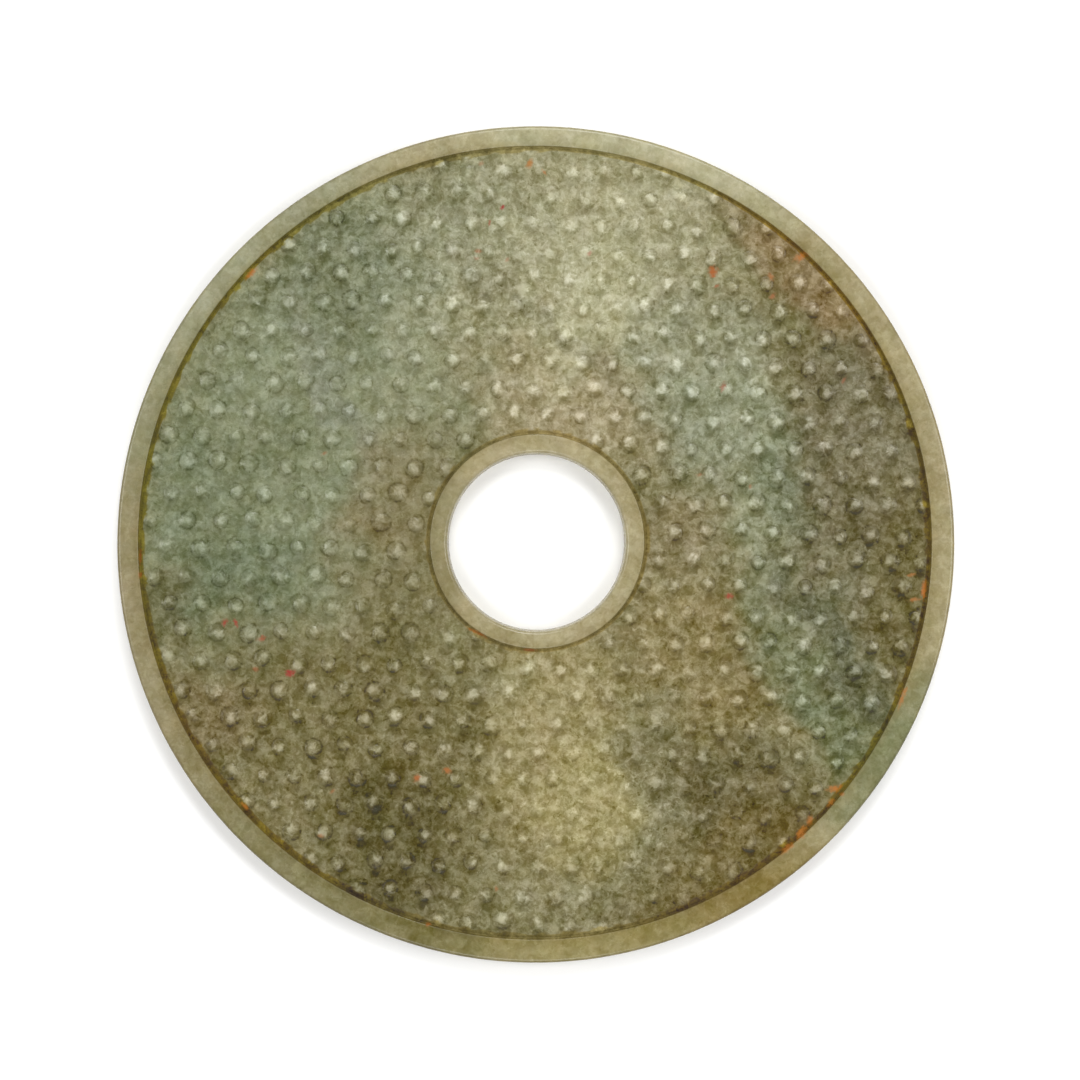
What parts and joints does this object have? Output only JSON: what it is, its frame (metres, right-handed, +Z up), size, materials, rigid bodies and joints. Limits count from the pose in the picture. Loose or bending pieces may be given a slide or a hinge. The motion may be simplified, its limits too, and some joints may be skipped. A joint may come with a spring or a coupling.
{
  "type": "bi disc",
  "caption": "Flat jade ring with a round central hole, raised plain rims at its edge and round the hole, and a sunken field of small staggered grain bosses.",
  "frame": {"origin": "on the surface that the disc lies on, under the middle of its outer edge", "axes": "+Z up out of the carved face, +Y the top of the carved face as displayed, +X to its right"},
  "size_m": [0.165, 0.165, 0.0055],
  "materials": {
    "jade": "polished nephrite, mottled grey-green to brown, with dirt in the cut lines and traces of cinnabar"
  },
  "bodies": {
    "root": {"bi_disc": "jade"}
  },
  "joints": []
}
